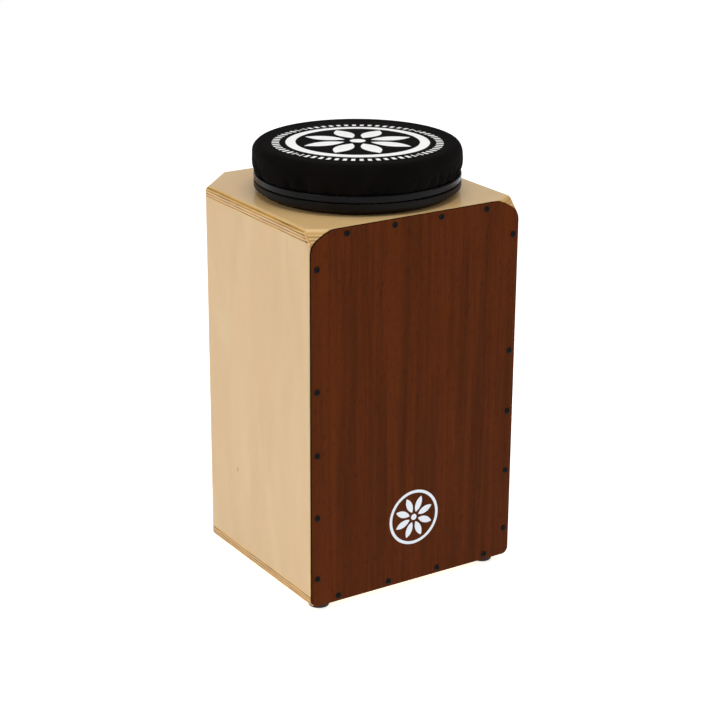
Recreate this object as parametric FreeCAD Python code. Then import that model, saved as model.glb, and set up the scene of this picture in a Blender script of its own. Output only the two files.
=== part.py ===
import FreeCAD, Part

import math
import os

# A box drum (cajon) with a loose swivel seat on its top. Millimetres.
# Origin: on the floor under the middle of the bounding box. +Z is up, the
# playing plate (tapa) faces -Y, and +X is to the right seen from the front.

V = FreeCAD.Vector

# ---- driving dimensions: the plywood shell ----
BODY_WIDTH = 297.0
BODY_DEPTH = 298.0          # the shell alone, without the tapa
BODY_HEIGHT = 474.0
PLY = 15.0                  # thickness of every panel
REAR_CUT = 52.0             # leg of the 45 degree rear corners
TOP_ROUND = 6.5             # rounding of the top's side and rear edges
BOTTOM_ROUND = 6.0
FRONT_EASE = 2.0            # eased edge round the open front
CUT_ACROSS = 28.0           # bevelled front top corners: leg along the top
CUT_DOWN = 17.2             # leg down the side
CUT_BACK = 17.0             # leg back from the front
SOUND_HOLE_R = 60.0
SOUND_HOLE_RISE = 285.0     # its centre above the shell's underside
SOUND_HOLE_EASE = 4.0

# ---- driving dimensions: the tapa and its screws ----
TAPA_WIDTH = 296.0
TAPA_THICK = 3.0
TAPA_CUT_ACROSS = 26.0
TAPA_CUT_DOWN = 16.0
TAPA_TOP_ROUND_R = 40.0     # where the cut meets the top edge
TAPA_SIDE_ROUND_R = 20.0    # where it meets the side edge
TAPA_LOW_ROUND_R = 9.0
TAPA_EASE = 0.6
SCREW_HEAD_R = 3.9
SCREW_HEAD_H = 1.2
SCREW_SHANK_R = 1.7
SCREW_LENGTH = 24.0
HEAD_RIM = 0.35             # a screw head's outline: shares of its height and radius
HEAD_FLAT_R = 0.55
HEAD_SHOULDER = (0.86, 0.82)
RECESS_ARM = 0.62           # its cross recess: shares of its radius and height
RECESS_HALF_WIDTH = 0.16
RECESS_DEPTH = 0.75
SIDE_SCREW_INSET = 7.9      # from the tapa's side edges
SIDE_SCREW_RISES = (36.8, 117.5, 198.3, 279.0, 429.2)
TOP_SCREW_DROP = 7.2
TOP_SCREW_SPAN = 198.6      # first to last screw of the top row
BOTTOM_SCREW_RISE = 7.2
BOTTOM_SCREW_SPAN = 220.0
ROW_SCREWS = 4

# ---- driving dimensions: the printed emblem on the tapa ----
EMBLEM_RISE = 86.0          # its centre above the shell's underside
EMBLEM_R = 36.0
EMBLEM_RING = 3.8
EMBLEM_DOT_R = 4.0
EMBLEM_PETALS = 8
PETAL_INNER_R = 6.9
PETAL_OUTER_R = 28.4
PETAL_HALF_WIDTH = 4.3
EMBLEM_THICK = 0.15

# ---- driving dimensions: feet ----
FOOT_HEIGHT = 8.5
FOOT_TOP_R = 13.2
FOOT_LOW_R = 12.6
FOOT_EDGE_R = 1.2
FRONT_LEFT_FOOT_X = -126.0
FRONT_RIGHT_FOOT_X = 121.0
FOOT_FRONT_INSET = 17.0
REAR_FOOT_X = 98.0
REAR_FOOT_INSET = 24.0
FOOT_RECESS_R = 6.8
FOOT_RECESS_H = 4.0
FOOT_WASHER_R = 6.0
FOOT_WASHER_THICK = 1.0
FOOT_SCREW_R = 2.0
FOOT_SCREW_HEAD_H = 2.2
FOOT_SCREW_LENGTH = 16.0

# ---- driving dimensions: fixed snares inside the shell ----
BAR_RISE = 376.0            # underside of the crossbar above the shell's underside
BAR_HEIGHT = 20.0
BAR_DEPTH = 20.0
BAR_SETBACK = 14.0          # top front edge of the bar, behind the tapa
WIRE_SLOPE = 0.24           # forward travel of the wires per unit of rise
CLEAT = (18.0, 30.0, 40.0)
CLEAT_BEHIND = 4.0          # it reaches this far behind the bar
BAR_SCREW_R = 2.0
BAR_SCREW_HEAD_H = 2.0
BAR_SCREW_IN_CLEAT = 16.0
CLIP_WIDTH = 62.0
CLIP_HEIGHT = 16.0
CLIP_THICK = 1.0
CLIP_X = 72.0               # centre of each snare clip from the middle
CLIP_RISE = 3.0             # its lower edge above the bar's underside
CLIP_SCREW_INSET = 5.0      # from its ends and its lower edge
CLIP_SCREW_HEAD_R = 3.0
CLIP_SCREW_HEAD_H = 1.4
CLIP_SCREW_R = 1.4
CLIP_SCREW_LENGTH = 12.0
WIRE_COUNT = 10
WIRE_R = 0.7
WIRE_PITCH = 5.6
WIRE_LENGTH = 55.0
WIRE_IN_CLIP = 6.0

# ---- driving dimensions: swivel seat, heights above the shell's top ----
SEAT_X = 1.2
SEAT_Y = -14.9
SEAT_GAP = 0.1              # under the grip ring, between the two loose bodies
PLATE_R = 127.3
PLATE_FOOT_R = 117.0
LOWER_BASE = 0.8
LOWER_FLOOR = 4.0
LOWER_TAPER_H = 8.0
LOWER_RIM_H = 15.6
LOWER_WALL = 1.5            # thickness of the tapered part
UPPER_LOW_H = 16.8
UPPER_WEB_H = 19.8
UPPER_RIM_H = 25.0
PLATE_WALL = 3.0
GRIP_R = (100.0, 114.0)
GRIP_THICK = 1.2
RACE_R = 96.0
RACE_HALF_WIDTH = 8.0
BALL_R = 4.0
BALL_COUNT = 24
BALL_H = 10.25
BALL_GAP = 0.3
RACE_OPENING = 4.5          # height between the two race pads
CAGE_THICK = 1.5
CAGE_MARGIN = 0.5           # it is this much narrower than the race at each side
BALL_POCKET = 0.15          # clearance round each ball in the cage
HUB_R = 22.0
HUB_H = 8.5
BOLT_R = 4.0
BOLT_HEAD_R = 8.0
BOLT_HEAD_LOW = 1.2
BOLT_HEAD_TOP = 4.5
BOLT_RECESS_R = 9.5
BOLT_TOP = 29.0
BORE_CLEARANCE = 0.05
WASHER_GAP = 0.3
THRUST_WASHER_R = 14.0
THRUST_WASHER_THICK = 0.8
RETAINING_WASHER_R = 12.0
RETAINING_WASHER_THICK = 1.5
NUT_FLATS = 13.0
NUT_HEIGHT = 6.4
RIB_COUNT = 12
RIB_THICK = 2.0
RIB_HEIGHT = 3.0
RIB_OVERLAP = 0.5           # into the pieces that each rib joins
PLATE_EDGE_R = 1.2

# ---- driving dimensions: cushion and cover ----
FOAM_R = 126.0              # widest, half way up the side
FOAM_TUCK_R = 122.0         # inside the upper plate's rim
FOAM_SHOULDER_R = 110.0
FOAM_SHOULDER_H = 59.6
FOAM_SIDE_TOP_H = 47.0
FOAM_SIDE_LOW_H = 30.0
FOAM_CROWN_H = 62.0
CROWN_BULGE = 0.55          # how far each arc of the cushion's outline stands off its chord
SHOULDER_BULGE = (3.7, 3.4)
SIDE_BULGE = 0.3
TUCK_BULGE = (0.8, -0.6)
NUT_POCKET_R = 16.0
NUT_POCKET_H = 32.0
COVER_GAP = 0.2
COVER_THICK = 1.2
HEM_H = 20.6
ELASTIC_THICK = 0.7
ELASTIC_H = (20.1, 23.1)

# ---- values that follow from the dimensions above ----
HALF_WIDTH = BODY_WIDTH / 2
OVERALL_DEPTH = SCREW_HEAD_H + TAPA_THICK + BODY_DEPTH
FRONT_Y = -OVERALL_DEPTH / 2 + SCREW_HEAD_H + TAPA_THICK    # open front of the shell
BACK_Y = FRONT_Y + BODY_DEPTH
TAPA_Y = FRONT_Y - TAPA_THICK                               # playing face
BASE_Z = FOOT_HEIGHT
TOP_Z = BASE_Z + BODY_HEIGHT
SEAT_Z = TOP_Z + SEAT_GAP
ROOT_TWO = math.sqrt(2.0)


# ---- helpers ----

def save(name, shape):
    """Write one sub-part."""
    shape.exportStep("parts/%s.step" % name)


def group(solids):
    """Several separate solids in one node."""
    return Part.makeCompound(solids)


def cylinder(radius, low, high, x=0.0, y=0.0):
    """Upright cylinder between two heights."""
    return Part.makeCylinder(radius, high - low, V(x, y, low))


def tube(inner, outer, low, high, x=0.0, y=0.0):
    """Upright ring of rectangular section."""
    return cylinder(outer, low, high, x, y).cut(cylinder(inner, low - 1, high + 1, x, y))


def upright_prism(outline, low, high):
    """Prism over a closed plan outline of (x, y) corners."""
    corners = [V(x, y, low) for x, y in outline]
    wire = Part.makePolygon(corners + corners[:1])
    return Part.Face(wire).extrude(V(0, 0, high - low))


def revolved(edges):
    """Solid of revolution about Z from a closed chain of edges in the XZ plane."""
    face = Part.Face(Part.Wire(edges))
    return face.revolve(V(0, 0, 0), V(0, 0, 1), 360)


def polygon_edges(points):
    """Straight edges through (radius, height) points."""
    corners = [V(r, 0, h) for r, h in points]
    return [Part.LineSegment(a, b).toShape() for a, b in zip(corners, corners[1:])]


def lathe(points):
    """Solid of revolution about Z over a closed outline of (radius, height) points."""
    return revolved(polygon_edges(points + points[:1]))


def edges_where(shape, test):
    """Edges whose middle point passes the test."""
    found = []
    for edge in shape.Edges:
        middle = edge.valueAt((edge.FirstParameter + edge.LastParameter) / 2)
        if test(middle):
            found.append(edge)
    return found


def near(a, b, tolerance=0.01):
    return abs(a - b) < tolerance


def place_on_body(shape):
    """Move a seat piece from its own axis and height to its place on the shell."""
    moved = shape.copy()
    moved.translate(V(SEAT_X, SEAT_Y, SEAT_Z))
    return moved


# ---- plywood shell ----

def plan_outline(inset):
    """Plan corners of the shell, moved in from its side, corner and rear faces."""
    half = HALF_WIDTH - inset
    back = BACK_Y - inset
    leg = REAR_CUT - (2 - ROOT_TWO) * inset
    left = [(-half, FRONT_Y), (-half, back - leg), (-half + leg, back)]
    right = [(-x, y) for x, y in reversed(left)]
    return left + right


def corner_bevel(side):
    """Block that takes off one front top corner along a slanting plane."""
    across = V(side * (HALF_WIDTH - CUT_ACROSS), FRONT_Y, TOP_Z)
    down = V(side * HALF_WIDTH, FRONT_Y, TOP_Z - CUT_DOWN)
    back = V(side * HALF_WIDTH, FRONT_Y + CUT_BACK, TOP_Z)
    outward = (down - across).cross(back - across).normalize()
    if outward.z < 0:
        outward = outward * -1
    reach = 120.0
    block = Part.makeBox(reach, reach, reach / 2, V(-reach / 2, -reach / 2, 0))
    centre = (across + down + back) * (1 / 3)
    block.Placement = FreeCAD.Placement(centre, FreeCAD.Rotation(V(0, 0, 1), outward))
    return block


def shell_envelope():
    """Outer form of the whole shell, with its bevelled and rounded edges."""
    form = upright_prism(plan_outline(0.0), BASE_Z, TOP_Z)
    for side in (-1, 1):
        form = form.cut(corner_bevel(side))

    def top_edge(p):
        return near(p.z, TOP_Z) and p.y > FRONT_Y + 1

    def bevel_side_edge(p):
        beside = near(abs(p.x), HALF_WIDTH) and FRONT_Y + 1 < p.y < FRONT_Y + CUT_BACK
        return beside and TOP_Z - CUT_DOWN < p.z < TOP_Z - 1

    form = form.makeFillet(TOP_ROUND, edges_where(form, lambda p: top_edge(p) or bevel_side_edge(p)))
    form = form.makeFillet(
        BOTTOM_ROUND, edges_where(form, lambda p: near(p.z, BASE_Z) and p.y > FRONT_Y + 1))
    front_sides = edges_where(form, lambda p: near(p.y, FRONT_Y) and near(abs(p.x), HALF_WIDTH))
    return form.makeFillet(FRONT_EASE, front_sides)


def screw_places():
    """Centres (x, z) of the tapa's screws: two side columns and two rows."""
    column_x = TAPA_WIDTH / 2 - SIDE_SCREW_INSET
    places = [(side * column_x, BASE_Z + rise) for side in (-1, 1) for rise in SIDE_SCREW_RISES]
    rows = ((TOP_SCREW_SPAN, TOP_Z - TOP_SCREW_DROP), (BOTTOM_SCREW_SPAN, BASE_Z + BOTTOM_SCREW_RISE))
    for span, height in rows:
        for index in range(ROW_SCREWS):
            places.append((span * (index / (ROW_SCREWS - 1) - 0.5), height))
    return places


def along_y(radius, start_y, length, x, z):
    """Cylinder that runs back along +Y."""
    return Part.makeCylinder(radius, length, V(x, start_y, z), V(0, 1, 0))


def pilot_holes():
    """Holes that the tapa's screws fill in the tapa and the panels."""
    start = TAPA_Y - 1
    return group([along_y(SCREW_SHANK_R, start, SCREW_LENGTH + 1, x, z) for x, z in screw_places()])


def foot_places():
    """Foot node names with their centres."""
    front_y = FRONT_Y + FOOT_FRONT_INSET
    rear_y = BACK_Y - REAR_FOOT_INSET
    return {
        "front_left_foot": (FRONT_LEFT_FOOT_X, front_y),
        "front_right_foot": (FRONT_RIGHT_FOOT_X, front_y),
        "rear_left_foot": (-REAR_FOOT_X, rear_y),
        "rear_right_foot": (REAR_FOOT_X, rear_y),
    }


def make_shell():
    """Seven plywood panels that meet at glued butt and mitre joints."""
    envelope = shell_envelope()
    holes = pilot_holes()
    floor_z = BASE_Z + PLY
    ceiling_z = TOP_Z - PLY
    outer = plan_outline(0.0)
    inner = plan_outline(PLY)

    save("top_panel", upright_prism(outer, ceiling_z, TOP_Z).common(envelope).cut(holes))

    bottom = upright_prism(outer, BASE_Z, floor_z).common(envelope).cut(holes)
    for x, y in foot_places().values():
        bottom = bottom.cut(cylinder(FOOT_SCREW_R, BASE_Z - 1, foot_screw_top(), x, y))
    save("bottom_panel", bottom)

    walls = ("left_side_panel", "left_rear_corner_panel", "back_panel",
             "right_rear_corner_panel", "right_side_panel")
    for index, name in enumerate(walls):
        outline = [outer[index], outer[index + 1], inner[index + 1], inner[index]]
        wall = upright_prism(outline, floor_z, ceiling_z)
        if name == "back_panel":
            wall = cut_sound_hole(wall)
        if name.endswith("side_panel"):
            wall = wall.common(envelope).cut(holes)
        save(name, wall)


def cut_sound_hole(wall):
    """Round hole through the rear wall, its outer edge eased."""
    hole = along_y(SOUND_HOLE_R, BACK_Y - 2 * PLY, 3 * PLY, 0.0, BASE_Z + SOUND_HOLE_RISE)
    wall = wall.cut(hole)

    def rim_edge(p):
        return near(p.y, BACK_Y) and math.hypot(p.x, p.z - BASE_Z - SOUND_HOLE_RISE) < SOUND_HOLE_R + 1

    return wall.makeFillet(SOUND_HOLE_EASE, edges_where(wall, rim_edge))


# ---- tapa, its screws and its emblem ----

def make_tapa():
    """Thin playing plate over the shell's open front."""
    half = TAPA_WIDTH / 2
    left = [(-half, BASE_Z), (-half, TOP_Z - TAPA_CUT_DOWN), (-half + TAPA_CUT_ACROSS, TOP_Z)]
    outline = left + [(-x, z) for x, z in reversed(left)]
    corners = [V(x, TAPA_Y, z) for x, z in outline]
    plate = Part.Face(Part.makePolygon(corners + corners[:1])).extrude(V(0, TAPA_THICK, 0))

    def standing_corner(p, height):
        return near(p.y, TAPA_Y + TAPA_THICK / 2) and near(p.z, height)

    rounds = ((TAPA_TOP_ROUND_R, TOP_Z), (TAPA_SIDE_ROUND_R, TOP_Z - TAPA_CUT_DOWN),
              (TAPA_LOW_ROUND_R, BASE_Z))
    for radius, height in rounds:
        plate = plate.makeFillet(radius, edges_where(plate, lambda p: standing_corner(p, height)))
    plate = plate.makeFillet(TAPA_EASE, edges_where(plate, lambda p: near(p.y, TAPA_Y)))
    save("tapa", plate.cut(pilot_holes()))


def domed_screw(radius, height, shank_radius, length):
    """Round-head screw with a cross recess. Its head stands on z = 0, its shank runs to +Z."""
    rim = height * HEAD_RIM
    flat = radius * HEAD_FLAT_R
    shoulder = V(radius * HEAD_SHOULDER[0], 0, -height * HEAD_SHOULDER[1])
    crown = Part.Arc(V(radius, 0, -rim), shoulder, V(flat, 0, -height)).toShape()
    edges = polygon_edges([(0, -height), (flat, -height)])
    edges.append(crown)
    edges += polygon_edges([(radius, -rim), (radius, 0), (shank_radius, 0),
                            (shank_radius, length - shank_radius), (0, length), (0, -height)])
    screw = revolved(Part.__sortEdges__(edges))
    arm = radius * RECESS_ARM
    slot = radius * RECESS_HALF_WIDTH
    depth = height * RECESS_DEPTH
    for half_x, half_y in ((arm, slot), (slot, arm)):
        recess = Part.makeBox(2 * half_x, 2 * half_y, depth + 1, V(-half_x, -half_y, -height - 1))
        screw = screw.cut(recess)
    return screw


def turned(shape, direction, position):
    """Copy of a shape built along +Z, turned to another direction and moved."""
    copy = shape.copy()
    turn = FreeCAD.Placement(position, FreeCAD.Rotation(V(0, 0, 1), direction))
    copy.Placement = turn.multiply(shape.Placement)
    return copy


def make_tapa_screws():
    """Black round-head screws round the tapa's edge."""
    screw = domed_screw(SCREW_HEAD_R, SCREW_HEAD_H, SCREW_SHANK_R, SCREW_LENGTH)
    save("tapa_screws", group([turned(screw, V(0, 1, 0), V(x, TAPA_Y, z)) for x, z in screw_places()]))


def petal(inner, outer, half_width):
    """Flat pointed leaf along +X, between two radii, printed thickness along +Z."""
    middle = (inner + outer) / 2
    tips = (V(inner, 0, 0), V(outer, 0, 0))
    sides = [Part.Arc(tips[0], V(middle, side * half_width, 0), tips[1]).toShape() for side in (1, -1)]
    return Part.Face(Part.Wire(sides)).extrude(V(0, 0, EMBLEM_THICK))


def make_emblem():
    """Generic printed mark: a ring round a rosette of leaves."""
    pieces = [tube(EMBLEM_R - EMBLEM_RING, EMBLEM_R, 0, EMBLEM_THICK)]
    pieces.append(cylinder(EMBLEM_DOT_R, 0, EMBLEM_THICK))
    for index in range(EMBLEM_PETALS):
        leaf = petal(PETAL_INNER_R, PETAL_OUTER_R, PETAL_HALF_WIDTH)
        leaf.rotate(V(0, 0, 0), V(0, 0, 1), 360 * (index + 0.5) / EMBLEM_PETALS)
        pieces.append(leaf)
    centre = V(0, TAPA_Y, BASE_Z + EMBLEM_RISE)
    save("front_emblem", group([turned(piece, V(0, -1, 0), centre) for piece in pieces]))


# ---- feet ----

def foot_screw_seat():
    """Underside of the washer, where the screw's head bears."""
    return FOOT_RECESS_H - FOOT_WASHER_THICK


def foot_screw_top():
    return foot_screw_seat() + FOOT_SCREW_LENGTH


def make_feet():
    """Four rubber feet, each held by a screw and a washer in its recess."""
    washers = []
    screws = []
    for name, (x, y) in foot_places().items():
        foot = Part.makeCone(FOOT_LOW_R, FOOT_TOP_R, FOOT_HEIGHT)
        foot = foot.makeFillet(FOOT_EDGE_R, edges_where(foot, lambda p: near(p.z, 0)))
        foot = foot.cut(cylinder(FOOT_RECESS_R, -1, FOOT_RECESS_H))
        foot = foot.cut(cylinder(FOOT_SCREW_R, 0, FOOT_HEIGHT + 1))
        foot.translate(V(x, y, 0))
        save(name, foot)
        washers.append(tube(FOOT_SCREW_R, FOOT_WASHER_R, foot_screw_seat(), FOOT_RECESS_H, x, y))
        screw = domed_screw(SCREW_HEAD_R, FOOT_SCREW_HEAD_H, FOOT_SCREW_R, FOOT_SCREW_LENGTH)
        screw.translate(V(x, y, foot_screw_seat()))
        screws.append(screw)
    save("foot_washers", group(washers))
    save("foot_screws", group(screws))


# ---- fixed snares ----

def bar_front_y(height):
    """The crossbar's front face leans forward as it rises, in line with the wires."""
    top = BASE_Z + BAR_RISE + BAR_HEIGHT
    return FRONT_Y + BAR_SETBACK + (top - height) * WIRE_SLOPE


def make_snares():
    """Wooden crossbar on two cleats, with two clips of straight snare wires."""
    bar = make_crossbar()
    low = BASE_Z + BAR_RISE
    lean = V(0, -WIRE_SLOPE, 1).normalize()
    forward = V(0, -1, -WIRE_SLOPE).normalize()
    clip_screw = domed_screw(CLIP_SCREW_HEAD_R, CLIP_SCREW_HEAD_H, CLIP_SCREW_R, CLIP_SCREW_LENGTH)
    clip_screws = []
    for side, label in ((-1, "left"), (1, "right")):
        foot = V(side * CLIP_X, bar_front_y(low + CLIP_RISE), low + CLIP_RISE)
        clip = Part.makeBox(CLIP_WIDTH, CLIP_THICK, CLIP_HEIGHT, V(-CLIP_WIDTH / 2, -CLIP_THICK, 0))
        clip.Placement = FreeCAD.Placement(foot, FreeCAD.Rotation(V(0, 0, 1), lean))
        screw_reach = CLIP_WIDTH / 2 - CLIP_SCREW_INSET
        for offset in (-screw_reach, screw_reach):
            seat = foot + V(offset, 0, 0) + lean * CLIP_SCREW_INSET + forward * CLIP_THICK
            clip_screws.append(turned(clip_screw, forward * -1, seat))
            shank = Part.makeCylinder(CLIP_SCREW_R, CLIP_SCREW_LENGTH + CLIP_THICK, seat, forward * -1)
            clip = clip.cut(shank)
            bar = bar.cut(shank)
        save("%s_snare_clip" % label, clip)
        wire_foot = foot + lean * (CLIP_HEIGHT - WIRE_IN_CLIP) + forward * (CLIP_THICK + WIRE_R)
        wires = []
        for index in range(WIRE_COUNT):
            offset = (index - (WIRE_COUNT - 1) / 2) * WIRE_PITCH
            wires.append(Part.makeCylinder(WIRE_R, WIRE_LENGTH, wire_foot + V(offset, 0, 0), lean))
        save("%s_snare_wires" % label, group(wires))
    save("snare_clip_screws", group(clip_screws))
    save("snare_crossbar", bar)


def make_crossbar():
    """The bar, screwed down on a cleat at each end."""
    inner_x = HALF_WIDTH - PLY
    low = BASE_Z + BAR_RISE
    top = low + BAR_HEIGHT
    rear_y = FRONT_Y + BAR_SETBACK + BAR_DEPTH
    section = [(bar_front_y(low), low), (bar_front_y(top), top), (rear_y, top), (rear_y, low)]
    corners = [V(-inner_x, y, z) for y, z in section]
    bar = Part.Face(Part.makePolygon(corners + corners[:1])).extrude(V(2 * inner_x, 0, 0))

    screw = domed_screw(SCREW_HEAD_R, BAR_SCREW_HEAD_H, BAR_SCREW_R, BAR_HEIGHT + BAR_SCREW_IN_CLEAT)
    screw_y = rear_y - BAR_DEPTH / 2
    width, depth, height = CLEAT
    bar_screws = []
    for side, label in ((-1, "left"), (1, "right")):
        x = side * (inner_x - width / 2)
        bar_screws.append(turned(screw, V(0, 0, -1), V(x, screw_y, top)))
        corner = V(x - width / 2, rear_y + CLEAT_BEHIND - depth, low - height)
        cleat = Part.makeBox(width, depth, height, corner)
        save("%s_crossbar_cleat" % label, cleat.cut(bar_screws[-1]))
        bar = bar.cut(cylinder(BAR_SCREW_R, low - 1, top + 1, x, screw_y))
    save("crossbar_screws", group(bar_screws))
    return bar


# ---- swivel seat: base ----

def race_groove():
    """Ring-shaped channel that clears the balls."""
    return Part.makeTorus(RACE_R, BALL_R + BALL_GAP, V(0, 0, BALL_H))


def ribs(inner, outer, low, high):
    """Radial stiffening ribs inside a plate. They reach a little into the hub and the race pad."""
    start = inner - RIB_OVERLAP
    length = outer + RIB_OVERLAP - start
    bars = []
    for index in range(RIB_COUNT):
        bar = Part.makeBox(length, RIB_THICK, high - low, V(start, -RIB_THICK / 2, low))
        bar.rotate(V(0, 0, 0), V(0, 0, 1), 360 * index / RIB_COUNT)
        bars.append(bar)
    return bars


def make_seat_base():
    """Lower plate with its ball race, grip ring and pivot bolt. It doesn't turn."""
    race_low = RACE_R - RACE_HALF_WIDTH
    race_high = RACE_R + RACE_HALF_WIDTH
    pad_top = BALL_H - RACE_OPENING / 2
    rim_in = PLATE_R - PLATE_WALL
    profile = [(BOLT_R, LOWER_BASE), (PLATE_FOOT_R, LOWER_BASE), (PLATE_R, LOWER_TAPER_H),
               (PLATE_R, LOWER_RIM_H), (rim_in, LOWER_RIM_H), (rim_in, LOWER_TAPER_H + LOWER_WALL),
               (PLATE_FOOT_R - LOWER_WALL, LOWER_FLOOR), (race_high, LOWER_FLOOR),
               (race_high, pad_top), (race_low, pad_top), (race_low, LOWER_FLOOR),
               (HUB_R, LOWER_FLOOR), (HUB_R, HUB_H), (BOLT_R, HUB_H)]
    plate = lathe(profile).cut(race_groove())
    plate = plate.cut(cylinder(BOLT_RECESS_R, LOWER_BASE - 1, BOLT_HEAD_TOP))
    plate = plate.cut(tube(GRIP_R[0], GRIP_R[1], LOWER_BASE - 1, GRIP_THICK + LOWER_BASE))
    for rib in ribs(HUB_R, race_low, LOWER_FLOOR - RIB_OVERLAP, LOWER_FLOOR + RIB_HEIGHT):
        plate = plate.fuse(rib)
    plate = plate.removeSplitter()
    outer_corners = edges_where(
        plate, lambda p: near(math.hypot(p.x, p.y), PLATE_R) and p.z > LOWER_TAPER_H - 0.01)
    plate = plate.makeFillet(PLATE_EDGE_R, [edge for edge in outer_corners if edge.Length > PLATE_R])
    save("lower_plate", place_on_body(plate))

    save("grip_ring", place_on_body(tube(GRIP_R[0], GRIP_R[1], 0.0, GRIP_THICK + LOWER_BASE)))

    head = cylinder(BOLT_HEAD_R, BOLT_HEAD_LOW, BOLT_HEAD_TOP)
    head = head.makeFillet(PLATE_EDGE_R, edges_where(head, lambda p: near(p.z, BOLT_HEAD_LOW)))
    bolt = head.fuse(cylinder(BOLT_R, BOLT_HEAD_LOW + PLATE_EDGE_R, BOLT_TOP)).removeSplitter()
    save("pivot_bolt", place_on_body(bolt))

    thrust_top = HUB_H + THRUST_WASHER_THICK
    save("thrust_washer", place_on_body(tube(BOLT_R, THRUST_WASHER_R, HUB_H, thrust_top)))
    washer_low = UPPER_WEB_H + WASHER_GAP
    washer_top = washer_low + RETAINING_WASHER_THICK
    save("retaining_washer", place_on_body(tube(BOLT_R, RETAINING_WASHER_R, washer_low, washer_top)))
    nut_r = NUT_FLATS / math.sqrt(3.0)
    turns = [math.radians(60 * index) for index in range(6)]
    hexagon = [(nut_r * math.cos(turn), nut_r * math.sin(turn)) for turn in turns]
    nut = upright_prism(hexagon, washer_top, washer_top + NUT_HEIGHT)
    nut = nut.cut(cylinder(BOLT_R, 0, BOLT_TOP + 1))
    save("lock_nut", place_on_body(nut))


def make_ball_set():
    """Steel balls spaced by a flat plastic cage. They roll at half the seat's speed."""
    cage_low = BALL_H - CAGE_THICK / 2
    half_width = RACE_HALF_WIDTH - CAGE_MARGIN
    cage = tube(RACE_R - half_width, RACE_R + half_width, cage_low, cage_low + CAGE_THICK)
    balls = []
    for index in range(BALL_COUNT):
        angle = math.radians(360 * (index + 0.5) / BALL_COUNT)
        x = RACE_R * math.cos(angle)
        y = RACE_R * math.sin(angle)
        balls.append(Part.makeSphere(BALL_R, V(x, y, BALL_H)))
        cage = cage.cut(cylinder(BALL_R + BALL_POCKET, 0, 2 * BALL_H, x, y))
    save("ball_cage", place_on_body(cage))
    save("bearing_balls", place_on_body(group(balls)))


# ---- swivel seat: the part that turns ----

def make_upper_plate():
    """Upper plate with its ball race, and a rim that holds the cushion."""
    race_low = RACE_R - RACE_HALF_WIDTH
    race_high = RACE_R + RACE_HALF_WIDTH
    pad_low = BALL_H + RACE_OPENING / 2
    boss_low = HUB_H + THRUST_WASHER_THICK + WASHER_GAP
    bore = BOLT_R + BORE_CLEARANCE
    rim_in = PLATE_R - PLATE_WALL
    profile = [(bore, boss_low), (HUB_R, boss_low), (HUB_R, UPPER_LOW_H), (race_low, UPPER_LOW_H),
               (race_low, pad_low), (race_high, pad_low), (race_high, UPPER_LOW_H), (PLATE_R, UPPER_LOW_H),
               (PLATE_R, UPPER_RIM_H), (rim_in, UPPER_RIM_H), (rim_in, UPPER_WEB_H), (bore, UPPER_WEB_H)]
    plate = lathe(profile).cut(race_groove())
    for rib in ribs(HUB_R, race_low, UPPER_LOW_H - RIB_HEIGHT, UPPER_LOW_H + RIB_OVERLAP):
        plate = plate.fuse(rib)
    plate = plate.removeSplitter()
    rim_edges = edges_where(plate, lambda p: near(math.hypot(p.x, p.y), PLATE_R))
    plate = plate.makeFillet(PLATE_EDGE_R, [edge for edge in rim_edges if edge.Length > PLATE_R])
    save("upper_plate", place_on_body(plate))


def cushion_edges(offset, low):
    """Outer line of the cushion from its crown down into the rim, pushed out by offset."""
    crown = V(0, 0, FOAM_CROWN_H + offset)
    shoulder = V(FOAM_SHOULDER_R, 0, FOAM_SHOULDER_H + offset)
    side_top = V(FOAM_R + offset, 0, FOAM_SIDE_TOP_H)
    side_low = V(FOAM_R + offset, 0, FOAM_SIDE_LOW_H)
    tuck = V(FOAM_TUCK_R + offset, 0, UPPER_RIM_H)
    end = V(FOAM_TUCK_R + offset, 0, low)
    crown_middle = (crown + shoulder) * 0.5 + V(0, 0, CROWN_BULGE)
    bend = (shoulder + side_top) * 0.5 + V(SHOULDER_BULGE[0], 0, SHOULDER_BULGE[1])
    bulge = (side_top + side_low) * 0.5 + V(SIDE_BULGE, 0, 0)
    tuck_bend = (side_low + tuck) * 0.5 + V(TUCK_BULGE[0], 0, TUCK_BULGE[1])
    arcs = ((crown, crown_middle, shoulder), (shoulder, bend, side_top),
            (side_top, bulge, side_low), (side_low, tuck_bend, tuck))
    edges = [Part.Arc(a, b, c).toShape() for a, b, c in arcs]
    edges.append(Part.LineSegment(tuck, end).toShape())
    return edges, crown, end


def make_cushion():
    """Foam pad, its fabric cover, and the elastic band that holds the cover in the rim."""
    edges, crown, end = cushion_edges(0.0, UPPER_WEB_H)
    edges += polygon_edges([(end.x, UPPER_WEB_H), (NUT_POCKET_R, UPPER_WEB_H), (NUT_POCKET_R, NUT_POCKET_H),
                            (0, NUT_POCKET_H), (0, crown.z)])
    save("foam_cushion", place_on_body(revolved(edges)))

    inner, inner_crown, inner_end = cushion_edges(COVER_GAP, HEM_H)
    outer, outer_crown, outer_end = cushion_edges(COVER_GAP + COVER_THICK, HEM_H)
    hem = Part.LineSegment(outer_end, inner_end).toShape()
    axis = Part.LineSegment(inner_crown, outer_crown).toShape()
    save("seat_cover", place_on_body(revolved(Part.__sortEdges__(outer + [hem] + inner + [axis]))))

    band_in = FOAM_TUCK_R + COVER_GAP + COVER_THICK
    band = tube(band_in, band_in + ELASTIC_THICK, ELASTIC_H[0], ELASTIC_H[1])
    save("cover_elastic", place_on_body(band))


os.makedirs("parts", exist_ok=True)
make_shell()
make_tapa()
make_tapa_screws()
make_emblem()
make_feet()
make_snares()
make_seat_base()
make_ball_set()
make_upper_plate()
make_cushion()
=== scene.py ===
import math

import bpy
import numpy as np
from mathutils import Matrix, Vector, noise
from mathutils.bvhtree import BVHTree


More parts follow.
